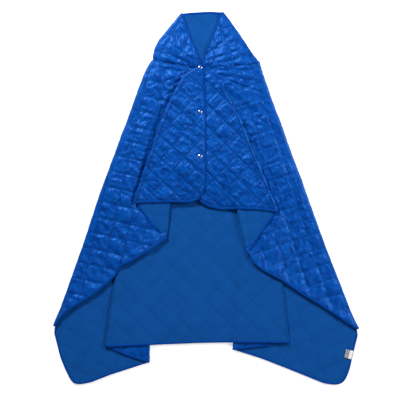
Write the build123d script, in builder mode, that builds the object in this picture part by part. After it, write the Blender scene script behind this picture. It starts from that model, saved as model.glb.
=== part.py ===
from build123d import *
import os
from math import cos, hypot, radians, sin

os.makedirs("parts", exist_ok=True)

# A quilted snap blanket worn as a hooded cape, laid flat on its back and folded into pleats.
# It lies on the XY plane with its hood towards +Y, and the origin is under the middle of its box.
# Every length is in millimetres.

# ---- plies, from the outside of the blanket to the inside ----
SHELL = 0.8
BATTING = 3.2
LINING = 2.0
LAYER = SHELL + BATTING + LINING

# ---- edge binding ----
BINDING = 9.0
CORNER = 72.0

# ---- heights of the layers' undersides ----
WING_Z = 0.0
PLEAT_Z = WING_Z + LAYER
BACK_Z = PLEAT_Z + LAYER
FRONT_Z = BACK_Z + LAYER
FRONT_PLEAT_Z = FRONT_Z + LAYER
CLEARANCE = 0.3
RIGHT_FLAP_Z = FRONT_PLEAT_Z + LAYER + CLEARANCE
LEFT_FLAP_Z = RIGHT_FLAP_Z + LAYER + CLEARANCE
FLAP_TOP = LEFT_FLAP_Z + LAYER

# ---- corners of the folded outline, in plan ----
HOOD_LEFT, HOOD_RIGHT = (-84, 689), (54, 693)
CHEEK_LEFT = (-166, 588)
SHOULDER_LEFT, SHOULDER_RIGHT = (-192, 514), (190, 505)
FOLD_END_LEFT, FOLD_END_RIGHT = (-560, -485), (560, -496)
WRIST_LEFT, WRIST_RIGHT = (-567, -500), (566, -515)
WING_TIP_LEFT, WING_TIP_RIGHT = (-518, -717), (522, -721)
TUCK_LEFT, TUCK_RIGHT = (-217, -615), (105, -567)
HEM_LEFT, HEM_RIGHT = (-377, -556), (310, -540)
FRONT_TIP_LEFT, FRONT_TIP_RIGHT = (-149, -156), (155, -205)
NECK_LEFT, NECK_RIGHT = (-34, 471), (22, 471)

# ---- front flaps: each turns about the line from its neck end to its hem end ----
FLAP_GAP = 0.5
LEFT_HINGE = ((-75, 457), (-265, -18))
RIGHT_HINGE = ((47.5, 456.5), (265, -51))
LEFT_EDGE_X = 0.0
RIGHT_EDGE_X = -44.0

# ---- ring snaps ----
SNAP_X = -22.0
SNAP_YS = {"neck": 485.0, "upper": 320.0, "lower": 155.0}
CAP_R, CAP_H, CAP_RIM = 7.5, 2.6, 0.6
POST_R = 1.6
SOCKET_R, SOCKET_H = 6.4, 3.0
BORE_R, BORE_H = 2.8, 2.4
STUD_R, STUD_H = 2.0, 2.1
BASE_R, STUD_BASE_H, BACK_CAP_H = 6.0, 1.1, 1.3
STUD_ROUND, BACK_CAP_ROUND = 0.6, 0.5
SEAT_GAP = 0.2

# ---- care label, sewn to the right wing ----
LABEL_FOOT = (545, -604)
LABEL_TURN = 77.0
LABEL_LONG, LABEL_WIDE, LABEL_THICK = 33.0, 28.0, 0.6
LABEL_Z = WING_Z + LAYER + CLEARANCE
LABEL_ROUND = 1.0
SEAM_WIDE, SEAM_HIGH = 1.0, 0.5


def unit(a, b):
    """The direction and the distance from one plan point to another."""
    length = hypot(b[0] - a[0], b[1] - a[1])
    return ((b[0] - a[0]) / length, (b[1] - a[1]) / length), length


class Facet:
    """One flat stretch of the folded blanket, with the sides where it turns into the next one."""

    def __init__(self, z, shell_up, points, held=(), rounded=()):
        self.z, self.shell_up = z, shell_up
        self.face = self.outline(points, rounded)
        self.rim = self.free_rim(held)

    def outline(self, points, rounded):
        with BuildSketch() as shape:
            with BuildLine():
                Polyline(*points, close=True)
            make_face()
            for corner in rounded:
                near = shape.vertices().sort_by_distance((*corner, 0))[0]
                fillet(near, CORNER)
        return shape.sketch

    def free_rim(self, held):
        """The strip along the free sides that the binding takes, or None."""
        free = [e for e in self.face.edges() if not any(lies_on(e, *side) for side in held)]
        if not free:
            return None
        ends = [(vertex.X, vertex.Y) for edge in free for vertex in edge.vertices()]
        with BuildSketch() as band:
            trace(free, line_width=2 * BINDING)
            with Locations(*ends):
                Circle(BINDING)
        with BuildSketch() as rim:
            add(self.face)
            add(band.sketch, mode=Mode.INTERSECT)
        return rim.sketch

    def field(self):
        """The facet inside its binding."""
        with BuildSketch() as inner:
            add(self.face)
            if self.rim:
                add(self.rim, mode=Mode.SUBTRACT)
        return inner.sketch

    def ply_z(self, ply):
        """The height of a ply's underside here, which depends on which side is up."""
        below = {"shell": LAYER - SHELL, "batting": LINING, "lining": 0.0}
        if not self.shell_up:
            below = {"shell": 0.0, "batting": SHELL, "lining": LAYER - LINING}
        return self.z + below[ply]


class Fold:
    """A round fold between two facets, whose plies turn about the line from start to end.

    gap is the clear height inside the fold, and outside names the ply on its outer side.
    side is 1 if the fold bulges to the left of its line, and -1 if it bulges to the right.
    skip and trim are the lengths left flat at the start and at the end.
    """

    def __init__(self, start, end, z, side, gap=0.0, outside="shell", skip=0.0, trim=0.0):
        direction, length = unit(start, end)
        self.origin = (start[0] + direction[0] * skip, start[1] + direction[1] * skip, z)
        self.direction, self.length = direction, length - skip - trim
        self.out = (-direction[1] * side, direction[0] * side, 0)
        self.inner, self.hemmed = gap / 2, trim == 0
        first = LINING if outside == "shell" else SHELL
        last = SHELL if outside == "shell" else LINING
        steps = (first, BATTING, last)
        plies = ("lining", "batting", "shell")
        if outside == "lining":
            plies = ("shell", "batting", "lining")
        self.radii = {}
        at = self.inner
        for ply, thick in zip(plies, steps):
            self.radii[ply] = (at, at + thick)
            at += thick

    def plane(self, along):
        x, y, z = self.origin
        start = (x + self.direction[0] * along, y + self.direction[1] * along, z)
        return Plane(origin=start, x_dir=self.out, z_dir=(*self.direction, 0))

    def ring(self, inner, outer, start, length):
        """A half ring round the fold line, as a solid."""
        with BuildPart() as turn:
            with BuildSketch(self.plane(start)):
                Circle(outer)
                if inner > 0:
                    Circle(inner, mode=Mode.SUBTRACT)
                Rectangle(outer, 2 * outer, align=(Align.MAX, Align.CENTER), mode=Mode.SUBTRACT)
            extrude(amount=length)
        return turn.part

    def ply_ring(self, ply):
        return self.ring(*self.radii[ply], 0, self.length - (BINDING if self.hemmed else 0))

    def binding_ring(self):
        return self.ring(self.inner, self.inner + LAYER, self.length - BINDING, BINDING)


def lies_on(edge, a, b):
    """True if an edge's middle is on the straight side from a to b."""
    (dx, dy), length = unit(a, b)
    middle = edge @ 0.5
    x, y = middle.X - a[0], middle.Y - a[1]
    return abs(x * dy - y * dx) < 0.5 and -1 < x * dx + y * dy < length + 1


THICK = {"shell": SHELL, "batting": BATTING, "lining": LINING}

# ---- back: the middle of the blanket, lining up, with the inside of the hood ----
BACK_FACETS = [
    Facet(
        BACK_Z,
        False,
        [
            HOOD_LEFT,
            CHEEK_LEFT,
            SHOULDER_LEFT,
            HEM_LEFT,
            (-213, -548),
            HEM_RIGHT,
            SHOULDER_RIGHT,
            HOOD_RIGHT,
        ],
        held=[
            (HOOD_LEFT, CHEEK_LEFT),
            (CHEEK_LEFT, SHOULDER_LEFT),
            (SHOULDER_LEFT, HEM_LEFT),
            (HEM_RIGHT, SHOULDER_RIGHT),
            (SHOULDER_RIGHT, HOOD_RIGHT),
        ],
    )
]
BACK_FOLDS = [
    Fold(SHOULDER_LEFT, HEM_LEFT, BACK_Z, -1, outside="lining"),
    Fold(SHOULDER_RIGHT, HEM_RIGHT, BACK_Z, 1, outside="lining"),
]

# ---- left side: the wing, the back pleat, the outer front, the front pleat and the collar ----
LEFT_FACETS = [
    Facet(
        WING_Z,
        False,
        [SHOULDER_LEFT, FOLD_END_LEFT, WRIST_LEFT, WING_TIP_LEFT, TUCK_LEFT],
        held=[(SHOULDER_LEFT, FOLD_END_LEFT), (TUCK_LEFT, SHOULDER_LEFT)],
        rounded=[WING_TIP_LEFT],
    ),
    Facet(
        PLEAT_Z,
        True,
        [SHOULDER_LEFT, TUCK_LEFT, HEM_LEFT],
        held=[(SHOULDER_LEFT, TUCK_LEFT), (HEM_LEFT, SHOULDER_LEFT)],
    ),
    Facet(
        FRONT_Z,
        True,
        [
            HOOD_LEFT,
            CHEEK_LEFT,
            SHOULDER_LEFT,
            FOLD_END_LEFT,
            (-452, -380),
            (-330, -275),
            FRONT_TIP_LEFT,
            NECK_LEFT,
            (-20, 500),
            (-56, 598),
        ],
        held=[
            (HOOD_LEFT, CHEEK_LEFT),
            (CHEEK_LEFT, SHOULDER_LEFT),
            (SHOULDER_LEFT, FOLD_END_LEFT),
            (FRONT_TIP_LEFT, NECK_LEFT),
        ],
    ),
    Facet(
        FRONT_PLEAT_Z,
        False,
        [(-81, 440), (-40.3, 437), FRONT_TIP_LEFT, LEFT_HINGE[1]],
        held=[((-81, 440), (-40.3, 437)), (NECK_LEFT, FRONT_TIP_LEFT), LEFT_HINGE],
    ),
    Facet(
        FRONT_PLEAT_Z,
        False,
        [(-70, 462), (-13, 437), (-13, 505), (-60, 510)],
        held=[
            ((-70, 462), (-13, 437)),
            ((-13, 437), (-13, 505)),
            ((-13, 505), (-60, 510)),
            ((-60, 510), (-70, 462)),
        ],
    ),
    Facet(
        LEFT_FLAP_Z,
        True,
        [(-74, 459.5), (-13, 435), (-2, 440), (-2, 500), (-22, 525), (-62, 512)],
        held=[
            ((-74, 459.5), (-13, 435)),
            ((-13, 435), (-2, 440)),
            ((-22, 525), (-62, 512)),
            ((-62, 512), (-74, 459.5)),
        ],
    ),
]
LEFT_FOLDS = [
    Fold(CHEEK_LEFT, HOOD_LEFT, FRONT_Z, 1, skip=10),
    Fold(SHOULDER_LEFT, CHEEK_LEFT, FRONT_Z, 1, skip=10, trim=10),
    Fold(SHOULDER_LEFT, FOLD_END_LEFT, BACK_Z, -1, gap=2 * LAYER, skip=10),
    Fold(SHOULDER_LEFT, TUCK_LEFT, PLEAT_Z, 1),
    Fold(NECK_LEFT, FRONT_TIP_LEFT, FRONT_PLEAT_Z, 1, outside="lining", skip=45),
]

# ---- right side, the same way ----
RIGHT_FACETS = [
    Facet(
        WING_Z,
        False,
        [SHOULDER_RIGHT, FOLD_END_RIGHT, WRIST_RIGHT, WING_TIP_RIGHT, TUCK_RIGHT],
        held=[(SHOULDER_RIGHT, FOLD_END_RIGHT), (TUCK_RIGHT, SHOULDER_RIGHT)],
        rounded=[WING_TIP_RIGHT],
    ),
    Facet(
        PLEAT_Z,
        True,
        [SHOULDER_RIGHT, TUCK_RIGHT, HEM_RIGHT],
        held=[(SHOULDER_RIGHT, TUCK_RIGHT), (HEM_RIGHT, SHOULDER_RIGHT)],
    ),
    Facet(
        FRONT_Z,
        True,
        [
            HOOD_RIGHT,
            SHOULDER_RIGHT,
            FOLD_END_RIGHT,
            (350, -354),
            (205, -265),
            FRONT_TIP_RIGHT,
            NECK_RIGHT,
            (-8, 505),
            (8, 570),
        ],
        held=[
            (HOOD_RIGHT, SHOULDER_RIGHT),
            (SHOULDER_RIGHT, FOLD_END_RIGHT),
            (FRONT_TIP_RIGHT, NECK_RIGHT),
        ],
    ),
    Facet(
        FRONT_PLEAT_Z,
        False,
        [(54.7, 440), (28.1, 440), FRONT_TIP_RIGHT, RIGHT_HINGE[1]],
        held=[((54.7, 440), (28.1, 440)), (NECK_RIGHT, FRONT_TIP_RIGHT), RIGHT_HINGE],
    ),
    Facet(
        FRONT_PLEAT_Z,
        False,
        [(-10, 438), (44, 462), (20, 512), (-10, 505)],
        held=[
            ((-10, 438), (44, 462)),
            ((44, 462), (20, 512)),
            ((20, 512), (-10, 505)),
            ((-10, 505), (-10, 438)),
        ],
    ),
    Facet(
        RIGHT_FLAP_Z,
        True,
        [(47, 461), (-44, 422), (-44, 505), (-10, 530), (25, 512)],
        held=[((47, 461), (-44, 422)), ((-10, 530), (25, 512)), ((25, 512), (47, 461))],
    ),
]
RIGHT_FOLDS = [
    Fold(SHOULDER_RIGHT, HOOD_RIGHT, FRONT_Z, -1, skip=10),
    Fold(SHOULDER_RIGHT, FOLD_END_RIGHT, BACK_Z, 1, gap=2 * LAYER, skip=10),
    Fold(SHOULDER_RIGHT, TUCK_RIGHT, PLEAT_Z, -1),
    Fold(NECK_RIGHT, FRONT_TIP_RIGHT, FRONT_PLEAT_Z, -1, outside="lining", skip=45),
]


def flap(hinge, edge_x, z, hem):
    """A front flap, cut square to its hinge at the neck so that it turns clear of the collar."""
    (ux, uy), _ = unit(*hinge)
    inward = (-uy, ux) if hinge[1][0] < 0 else (uy, -ux)
    neck = (hinge[0][0] + FLAP_GAP * inward[0], hinge[0][1] + FLAP_GAP * inward[1])
    foot = (hinge[1][0] + FLAP_GAP * inward[0], hinge[1][1] + FLAP_GAP * inward[1])
    reach = (edge_x - neck[0]) / inward[0]
    top = (edge_x, neck[1] + reach * inward[1])
    corner = (edge_x, hem[0][1])
    points = [neck, top, corner, *hem, foot]
    return Facet(z, True, points, held=[(neck, top), (foot, neck)], rounded=[corner])


LEFT_FLAP = [flap(LEFT_HINGE, LEFT_EDGE_X, LEFT_FLAP_Z, [(-100, -16)])]
RIGHT_FLAP = [flap(RIGHT_HINGE, RIGHT_EDGE_X, RIGHT_FLAP_Z, [(200, -42)])]

GROUPS = {
    "back": (BACK_FACETS, BACK_FOLDS),
    "left_side": (LEFT_FACETS, LEFT_FOLDS),
    "right_side": (RIGHT_FACETS, RIGHT_FOLDS),
    "left_flap": (LEFT_FLAP, []),
    "right_flap": (RIGHT_FLAP, []),
}


def snap_seats(x, y):
    """The room that one ring snap takes out of the plies of both flaps."""
    with BuildPart() as seats:
        with BuildSketch(Plane.XY.offset(RIGHT_FLAP_Z)):
            with Locations((x, y)):
                Circle(POST_R + SEAT_GAP)
        extrude(amount=2 * LAYER + CLEARANCE)
        with BuildSketch(Plane.XY.offset(RIGHT_FLAP_Z)):
            with Locations((x, y)):
                Circle(BASE_R + SEAT_GAP)
        extrude(amount=BACK_CAP_H)
        with BuildSketch(Plane.XY.offset(RIGHT_FLAP_Z + LAYER - STUD_BASE_H)):
            with Locations((x, y)):
                Circle(BASE_R + SEAT_GAP)
        extrude(amount=STUD_BASE_H)
        with BuildSketch(Plane.XY.offset(LEFT_FLAP_Z)):
            with Locations((x, y)):
                Circle(SOCKET_R + SEAT_GAP)
        extrude(amount=SOCKET_H)
    return seats.part


SEATS = [snap_seats(SNAP_X, y) for y in SNAP_YS.values()]


def export(part, name):
    part.label = name
    export_step(part, f"parts/{name}.step")


def make_ply(group, ply):
    """One ply of a group of facets, with its round folds and its snap holes."""
    facets, folds = GROUPS[group]
    with BuildPart() as sheet:
        for facet in facets:
            with BuildSketch(Plane.XY.offset(facet.ply_z(ply))):
                add(facet.field())
            extrude(amount=THICK[ply])
        for fold in folds:
            add(fold.ply_ring(ply))
        if group != "back":
            for seat in SEATS:
                add(seat, mode=Mode.SUBTRACT)
    export(sheet.part, f"{group}_{ply}")


def make_binding(group):
    """The folded tape along a group's free edges, as thick as the quilt, in one length a facet."""
    facets, folds = GROUPS[group]
    lengths = [fold.binding_ring() for fold in folds if fold.hemmed]
    for facet in facets:
        if facet.rim:
            with BuildPart() as tape:
                with BuildSketch(Plane.XY.offset(facet.z)):
                    add(facet.rim)
                extrude(amount=LAYER)
            lengths += tape.solids()
    export(Compound(children=lengths), f"{group}_binding")


def make_snap(name, x, y):
    """A ring snap: cap and socket on the left flap, stud and back cap on the right flap."""
    socket_top = LEFT_FLAP_Z + SOCKET_H
    stud_seat = RIGHT_FLAP_Z + LAYER - STUD_BASE_H
    with BuildPart() as cap:
        with BuildSketch(Plane.XZ.offset(-y)):
            with BuildLine():
                dome = TangentArc((x, FLAP_TOP + CAP_H), (x + CAP_R, FLAP_TOP + CAP_RIM), tangent=(1, 0))
                Polyline(
                    dome @ 1,
                    (x + CAP_R, FLAP_TOP),
                    (x + POST_R, FLAP_TOP),
                    (x + POST_R, socket_top),
                    (x, socket_top),
                    dome @ 0,
                )
            make_face()
        revolve(axis=Axis((x, y, 0), (0, 0, 1)))
    export(cap.part, f"{name}_snap_cap")

    with BuildPart() as socket:
        with BuildSketch(Plane.XY.offset(LEFT_FLAP_Z)):
            with Locations((x, y)):
                Circle(SOCKET_R)
                Circle(BORE_R, mode=Mode.SUBTRACT)
        extrude(amount=BORE_H)
        with BuildSketch(Plane.XY.offset(LEFT_FLAP_Z + BORE_H)):
            with Locations((x, y)):
                Circle(SOCKET_R)
        extrude(amount=SOCKET_H - BORE_H)
        chamfer(socket.faces().sort_by(Axis.Z)[0].outer_wire().edges(), 0.5)
    export(socket.part, f"{name}_snap_socket")

    with BuildPart() as stud:
        with BuildSketch(Plane.XY.offset(stud_seat)):
            with Locations((x, y)):
                Circle(BASE_R)
        extrude(amount=STUD_BASE_H)
        with BuildSketch(Plane.XY.offset(stud_seat + STUD_BASE_H)):
            with Locations((x, y)):
                Circle(STUD_R)
        extrude(amount=STUD_H)
        fillet(stud.faces().sort_by(Axis.Z)[-1].edges(), STUD_ROUND)
    export(stud.part, f"{name}_snap_stud")

    with BuildPart() as back_cap:
        with BuildSketch(Plane.XY.offset(RIGHT_FLAP_Z)):
            with Locations((x, y)):
                Circle(BASE_R)
        extrude(amount=BACK_CAP_H)
        with BuildSketch(Plane.XY.offset(RIGHT_FLAP_Z + BACK_CAP_H)):
            with Locations((x, y)):
                Circle(POST_R)
        extrude(amount=stud_seat - RIGHT_FLAP_Z - BACK_CAP_H)
        fillet(back_cap.faces().sort_by(Axis.Z)[0].edges(), BACK_CAP_ROUND)
    export(back_cap.part, f"{name}_snap_back_cap")


def make_label():
    """The folded satin label and the seam that holds its long side to the wing."""
    side = (cos(radians(LABEL_TURN)), sin(radians(LABEL_TURN)), 0)
    foot = (*LABEL_FOOT, LABEL_Z)
    plane = Plane(origin=foot, x_dir=side, z_dir=(0, 0, 1))
    with BuildPart() as label:
        with BuildSketch(plane):
            with Locations((0, FLAP_GAP)):
                Rectangle(LABEL_LONG, LABEL_WIDE, align=(Align.MIN, Align.MIN))
        extrude(amount=LABEL_THICK)
        fillet(label.edges().filter_by(Axis.Z).group_by(Axis.X)[0], LABEL_ROUND)
    export(label.part, "care_label")

    with BuildPart() as seam:
        with BuildSketch(plane.offset(-CLEARANCE)):
            with Locations((0, -FLAP_GAP)):
                Rectangle(LABEL_LONG, SEAM_WIDE, align=(Align.MIN, Align.MAX))
        extrude(amount=SEAM_HIGH)
    export(seam.part, "care_label_seam")


for group in GROUPS:
    for ply in THICK:
        make_ply(group, ply)
    make_binding(group)
for snap, snap_y in SNAP_YS.items():
    make_snap(snap, SNAP_X, snap_y)
make_label()
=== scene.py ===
import math

import bmesh
import bpy
import numpy as np
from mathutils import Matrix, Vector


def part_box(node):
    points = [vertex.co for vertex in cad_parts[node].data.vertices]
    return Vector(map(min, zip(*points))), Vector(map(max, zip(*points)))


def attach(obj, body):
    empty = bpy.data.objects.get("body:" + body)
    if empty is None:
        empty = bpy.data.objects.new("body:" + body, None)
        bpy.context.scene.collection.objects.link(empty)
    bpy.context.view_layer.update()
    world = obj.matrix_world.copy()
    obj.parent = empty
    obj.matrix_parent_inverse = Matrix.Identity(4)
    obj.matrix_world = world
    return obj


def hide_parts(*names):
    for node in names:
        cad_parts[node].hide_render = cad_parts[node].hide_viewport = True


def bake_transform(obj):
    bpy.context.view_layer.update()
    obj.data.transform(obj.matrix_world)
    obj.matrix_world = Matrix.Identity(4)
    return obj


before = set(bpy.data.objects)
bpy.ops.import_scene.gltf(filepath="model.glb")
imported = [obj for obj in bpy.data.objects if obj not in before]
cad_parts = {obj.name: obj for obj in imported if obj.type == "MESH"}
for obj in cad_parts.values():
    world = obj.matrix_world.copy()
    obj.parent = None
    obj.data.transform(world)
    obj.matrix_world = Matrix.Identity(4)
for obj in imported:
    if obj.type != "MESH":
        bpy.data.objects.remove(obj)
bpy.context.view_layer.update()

MM = 0.001
LAYER = 6.0 * MM

# ---- the folded blanket in plan, in millimetres: every line runs from the hood or neck to the hem ----
HOOD_SIDE = {
    "left": [(-90, 691), (-134, 637), (-172, 591), (-190, 557), (-198, 514)],
    "right": [(62, 696), (92, 655), (128, 602), (165, 546), (196, 507)],
}
LAPEL = {
    "left": [(-84, 689), (-71, 647), (-56, 598), (-34, 550), (-22, 516), (-14, 492), (-9, 474)],
    "right": [(54, 692), (37, 640), (19, 591), (0, 546), (-14, 513), (-22, 492), (-24, 474)],
}
BACK_FOLD = {
    "left": [(-198, 514), (-262, 130), (-322, -249), (-338, -298), (-377, -556)],
    "right": [(196, 507), (243, 130), (284, -316), (296, -399), (310, -541)],
}
TUCK_FOLD = {
    "left": [(-198, 514), (-217, -615)],
    "right": [(196, 507), (105, -567)],
}
SIDE_FOLD = {
    "left": [(-198, 514), (-220, 478), (-246, 412), (-263, 365), (-392, 20), (-571, -479)],
    "right": [(196, 507), (204, 470), (240, 374), (372, 15), (571, -490)],
}
FRONT_FOLD = {
    "left": [(-12, 480), (-70, 330), (-140, -18), (-149, -152)],
    "right": [(2, 478), (66, 300), (123, -44), (158, -205)],
}
FLAP_FOLD = {
    "left": [(-14, 484), (-46, 475), (-80, 453), (-104, 412), (-128, 361), (-166, 267), (-240, 56), (-265, -18)],
    "right": [(-2, 482), (24, 454), (50, 420), (82, 374), (127, 286), (189, 131), (265, -51)],
}
FLAP_EDGE = {
    "left": [(-8, 484), (-6, 423), (0, 330), (0, 105), (-2, 50)],
    "right": [(-30, 482), (-43, 423), (-44, 330), (-44, 105), (-44, 45)],
}
BACK_HEM = [(-377, -556), (-213, -549), (-22, -541), (105, -539), (310, -541)]
HOOD_HEM = [(-90, 691), (-60, 695), (15, 699), (62, 696)]
PLEAT_HEM = {
    "left": [(-377, -556), (-300, -588), (-217, -615)],
    "right": [(310, -541), (205, -556), (105, -567)],
}
WING_HEM = {
    "left": [
        (-571, -479),
        (-569, -502),
        (-545, -597),
        (-527, -641),
        (-508, -679),
        (-495, -694),
        (-474, -697),
        (-433, -690),
        (-359, -661),
        (-217, -615),
    ],
    "right": [
        (571, -490),
        (569, -512),
        (553, -574),
        (538, -641),
        (523, -679),
        (508, -694),
        (486, -699),
        (445, -694),
        (388, -671),
        (314, -641),
        (209, -600),
        (105, -567),
    ],
}
FRONT_HEM = {
    "left": [
        (-571, -479),
        (-545, -447),
        (-508, -414),
        (-452, -380),
        (-396, -343),
        (-359, -309),
        (-336, -287),
        (-318, -252),
        (-284, -238),
        (-209, -193),
        (-149, -152),
    ],
    "right": [
        (571, -490),
        (500, -447),
        (426, -399),
        (351, -354),
        (280, -305),
        (209, -268),
        (172, -238),
        (158, -205),
    ],
}
FRONT_PLEAT_HEM = {
    "left": [(-149, -152), (-209, -89), (-265, -18)],
    "right": [(158, -205), (200, -140), (265, -51)],
}
FLAP_HEM = {
    "left": [(-265, -18), (-142, -14), (-60, -16), (-30, -6), (-10, 20), (-2, 50)],
    "right": [(265, -51), (202, -43), (127, -40), (52, -42), (7, -31), (-25, -10), (-44, 45)],
}
OUTWARD = {"left": -1.0, "right": 1.0}

# ---- mesh density ----
HOOD_ROWS = 38
BODY_ROWS = 172
ARC_COLUMNS = 6
COLUMNS = {"pleat": 34, "wing": 60, "front": 66, "front_pleat": 26, "back": 118}
FLAP_ROWS, FLAP_COLUMNS = 132, 74
LABEL_POINTS = 15

# ---- quilting ----
PITCH = 60.0 * MM
NYLON_PUFF, FLEECE_PUFF = 3.4 * MM, 1.9 * MM
HALF_THICK = 1.3 * MM
VALLEY_DEEP, RIDGE, HEM_LIFT = 10.0 * MM, 3.0 * MM, 8.0 * MM
FLOOR_GAP = 0.2 * MM
TAPE_WIDE, TAPE_HIGH = 4.6 * MM, 2.7 * MM
NYLON_TOP, SIM_CAP, SIM_FRAMES = 8.5 * MM, 7.0 * MM, 14


def smooth(edge0, edge1, x):
    t = np.clip((x - edge0) / (edge1 - edge0), 0, 1)
    return t * t * (3 - 2 * t)


def along(points, t):
    """Points at the fractions t of a soft curve through corners given in millimetres."""
    p = np.array(points, float) * MM
    d = np.r_[0, np.cumsum(np.linalg.norm(np.diff(p, axis=0), axis=1))]
    s = np.linspace(0, 1, 241)
    fine = np.stack([np.interp(s * d[-1], d, p[:, k]) for k in (0, 1)], 1)
    for _ in range(12):
        fine[1:-1] = (fine[:-2] + 2 * fine[1:-1] + fine[2:]) / 4
    return np.stack([np.interp(t, s, fine[:, k]) for k in (0, 1)], 1)


def value_noise(x, y, seed):
    """Smooth noise from -1 to 1, with one cell to a unit of x and y."""
    table = np.random.default_rng(seed).uniform(-1, 1, (97, 97))
    xi, yi = np.floor(x).astype(int), np.floor(y).astype(int)
    fx, fy = x - xi, y - yi
    fx, fy = fx * fx * (3 - 2 * fx), fy * fy * (3 - 2 * fy)
    a, b = table[xi % 97, yi % 97], table[(xi + 1) % 97, yi % 97]
    c, d = table[xi % 97, (yi + 1) % 97], table[(xi + 1) % 97, (yi + 1) % 97]
    return (a * (1 - fx) + b * fx) * (1 - fy) + (c * (1 - fx) + d * fx) * fy


# ---- flat pattern: each facet is the sheet reflected in its fold lines ----


def reflection(points):
    d = np.array(points[-1], float) - np.array(points[0], float)
    d /= np.hypot(*d)
    return 2 * np.outer(d, d) - np.eye(2)


def flat_maps(side):
    """Plan to flat sheet, as (matrix, offset), for each facet of one side."""
    chain = [
        ("pleat", BACK_FOLD[side]),
        ("wing", TUCK_FOLD[side]),
        ("front", SIDE_FOLD[side]),
        ("front_pleat", FRONT_FOLD[side]),
        ("flap", FLAP_FOLD[side]),
    ]
    matrix, offset = np.eye(2), np.zeros(2)
    maps = {"back": (matrix, offset)}
    for name, fold in chain:
        at = np.array(fold[len(fold) // 2], float) * MM
        new = matrix @ reflection(fold)
        offset = matrix @ at + offset - new @ at
        matrix = new
        maps[name] = (matrix, offset)
    at = np.array(HOOD_SIDE[side][2], float) * MM
    new = reflection([HOOD_SIDE[side][0], HOOD_SIDE[side][3]])
    maps["hood"] = (new, at - new @ at)
    return maps


MAPS = {side: flat_maps(side) for side in ("left", "right")}


def flat(side, name, plan):
    matrix, offset = MAPS[side][name]
    return plan @ matrix.T + offset


# ---- plan grids ----
HOOD_T = np.linspace(0, 1, HOOD_ROWS + 1)[:-1]
BODY_T = np.linspace(0, 1, BODY_ROWS + 1)
V = np.r_[HOOD_T, BODY_T]
NECK = HOOD_ROWS


def grid(a, b, columns, hem, bend_from=0.45):
    """A facet between the lines a and b, whose rows bend to follow its hem."""
    u = np.linspace(0, 1, columns)
    plan = a[:, None] * (1 - u)[None, :, None] + b[:, None] * u[None, :, None]
    curve = along(hem, u)
    miss = curve - plan[-1]
    rows = np.linspace(0, 1, len(a))
    share = np.clip((rows - bend_from) / (1 - bend_from), 0, 1) ** 1.6
    return plan + miss[None] * share[:, None, None]


def side_lines(side):
    out = OUTWARD[side]
    hood, lapel = along(HOOD_SIDE[side], HOOD_T), along(LAPEL[side], HOOD_T)
    lines = {
        "fold": np.r_[hood, along(SIDE_FOLD[side], BODY_T)],
        "inner": np.r_[lapel, along(FRONT_FOLD[side], BODY_T)],
        "back": np.r_[hood, along(BACK_FOLD[side], BODY_T)],
        "tuck": np.r_[hood, along(TUCK_FOLD[side], BODY_T)],
        "flap": np.r_[lapel, along(FLAP_FOLD[side], BODY_T)],
    }
    inset = 7.0 * MM * smooth(0, 0.35, np.linspace(0, 1, len(V)))
    lines["fold"][:, 0] -= out * np.maximum(inset, 4 * MM)
    lines["back"][NECK:, 0] -= out * inset[NECK:] * 0.5
    lines["flap"][NECK:, 0] -= out * 3 * MM * smooth(0, 0.1, BODY_T)
    return lines


LINES = {side: side_lines(side) for side in ("left", "right")}


def hem_of(points, line_a, line_b):
    """A hem's corners, with its ends put on the two fold lines."""
    hem = [tuple(p) for p in points]
    hem[0] = tuple(line_a[-1] / MM)
    hem[-1] = tuple(line_b[-1] / MM)
    return hem


def side_grids(side):
    lines = LINES[side]

    def facet(a, b, columns, hem, bend_from=0.45):
        return grid(lines[a], lines[b], columns, hem_of(hem, lines[a], lines[b]), bend_from)

    return {
        "pleat": facet("back", "tuck", COLUMNS["pleat"], PLEAT_HEM[side]),
        "wing": facet("fold", "tuck", COLUMNS["wing"], WING_HEM[side], 0.3),
        "front": facet("fold", "inner", COLUMNS["front"], FRONT_HEM[side], 0.55),
        "front_pleat": facet("flap", "inner", COLUMNS["front_pleat"], FRONT_PLEAT_HEM[side], 0.6),
    }


def flap_grid(side):
    t = np.linspace(0, 1, FLAP_ROWS)
    edge = along(FLAP_EDGE[side], t)
    fold = np.stack([np.interp(t, BODY_T, LINES[side]["flap"][NECK:, k]) for k in (0, 1)], 1)
    return grid(fold, edge, FLAP_COLUMNS, hem_of(FLAP_HEM[side], fold, edge), 0.7)


def back_grid():
    a, b = LINES["left"]["back"], LINES["right"]["back"]
    plan = grid(a, b, COLUMNS["back"], hem_of(BACK_HEM, a, b), 0.7)
    top = along(HOOD_HEM, np.linspace(0, 1, COLUMNS["back"]))
    top[0], top[-1] = a[0], b[0]
    share = np.clip(1 - np.arange(len(V)) / 24, 0, 1) ** 1.5
    return plan + (top - plan[0])[None] * share[:, None, None]


GRIDS = {side: side_grids(side) for side in ("left", "right")}
BACK = back_grid()
FLAPS = {side: flap_grid(side) for side in ("left", "right")}

# ---- heights: every facet is laid on the ones beneath, and sags to the floor beside them ----
CELL = 6.0 * MM
GX, GY = np.arange(-0.63, 0.63, CELL), np.arange(-0.77, 0.76, CELL)
XX, YY = np.meshgrid(GX, GY, indexing="ij")


def cover(plan):
    """The cells that a plan grid covers."""
    ring = np.r_[plan[:, 0], plan[-1], plan[::-1, -1], plan[0][::-1]]
    inside = np.zeros(XX.shape, bool)
    x0, y0 = ring[:, 0], ring[:, 1]
    x1, y1 = np.roll(x0, -1), np.roll(y0, -1)
    for ax, ay, bx, by in zip(x0, y0, x1, y1):
        if ay == by:
            continue
        crosses = (ay > YY) != (by > YY)
        inside ^= crosses & (XX < ax + (YY - ay) * (bx - ax) / (by - ay))
    return inside


def blur(a):
    p = np.pad(a, 1, mode="edge")
    q = p[:-2] + 2 * p[1:-1] + p[2:]
    return (q[:, :-2] + 2 * q[:, 1:-1] + q[:, 2:]) / 16


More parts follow.
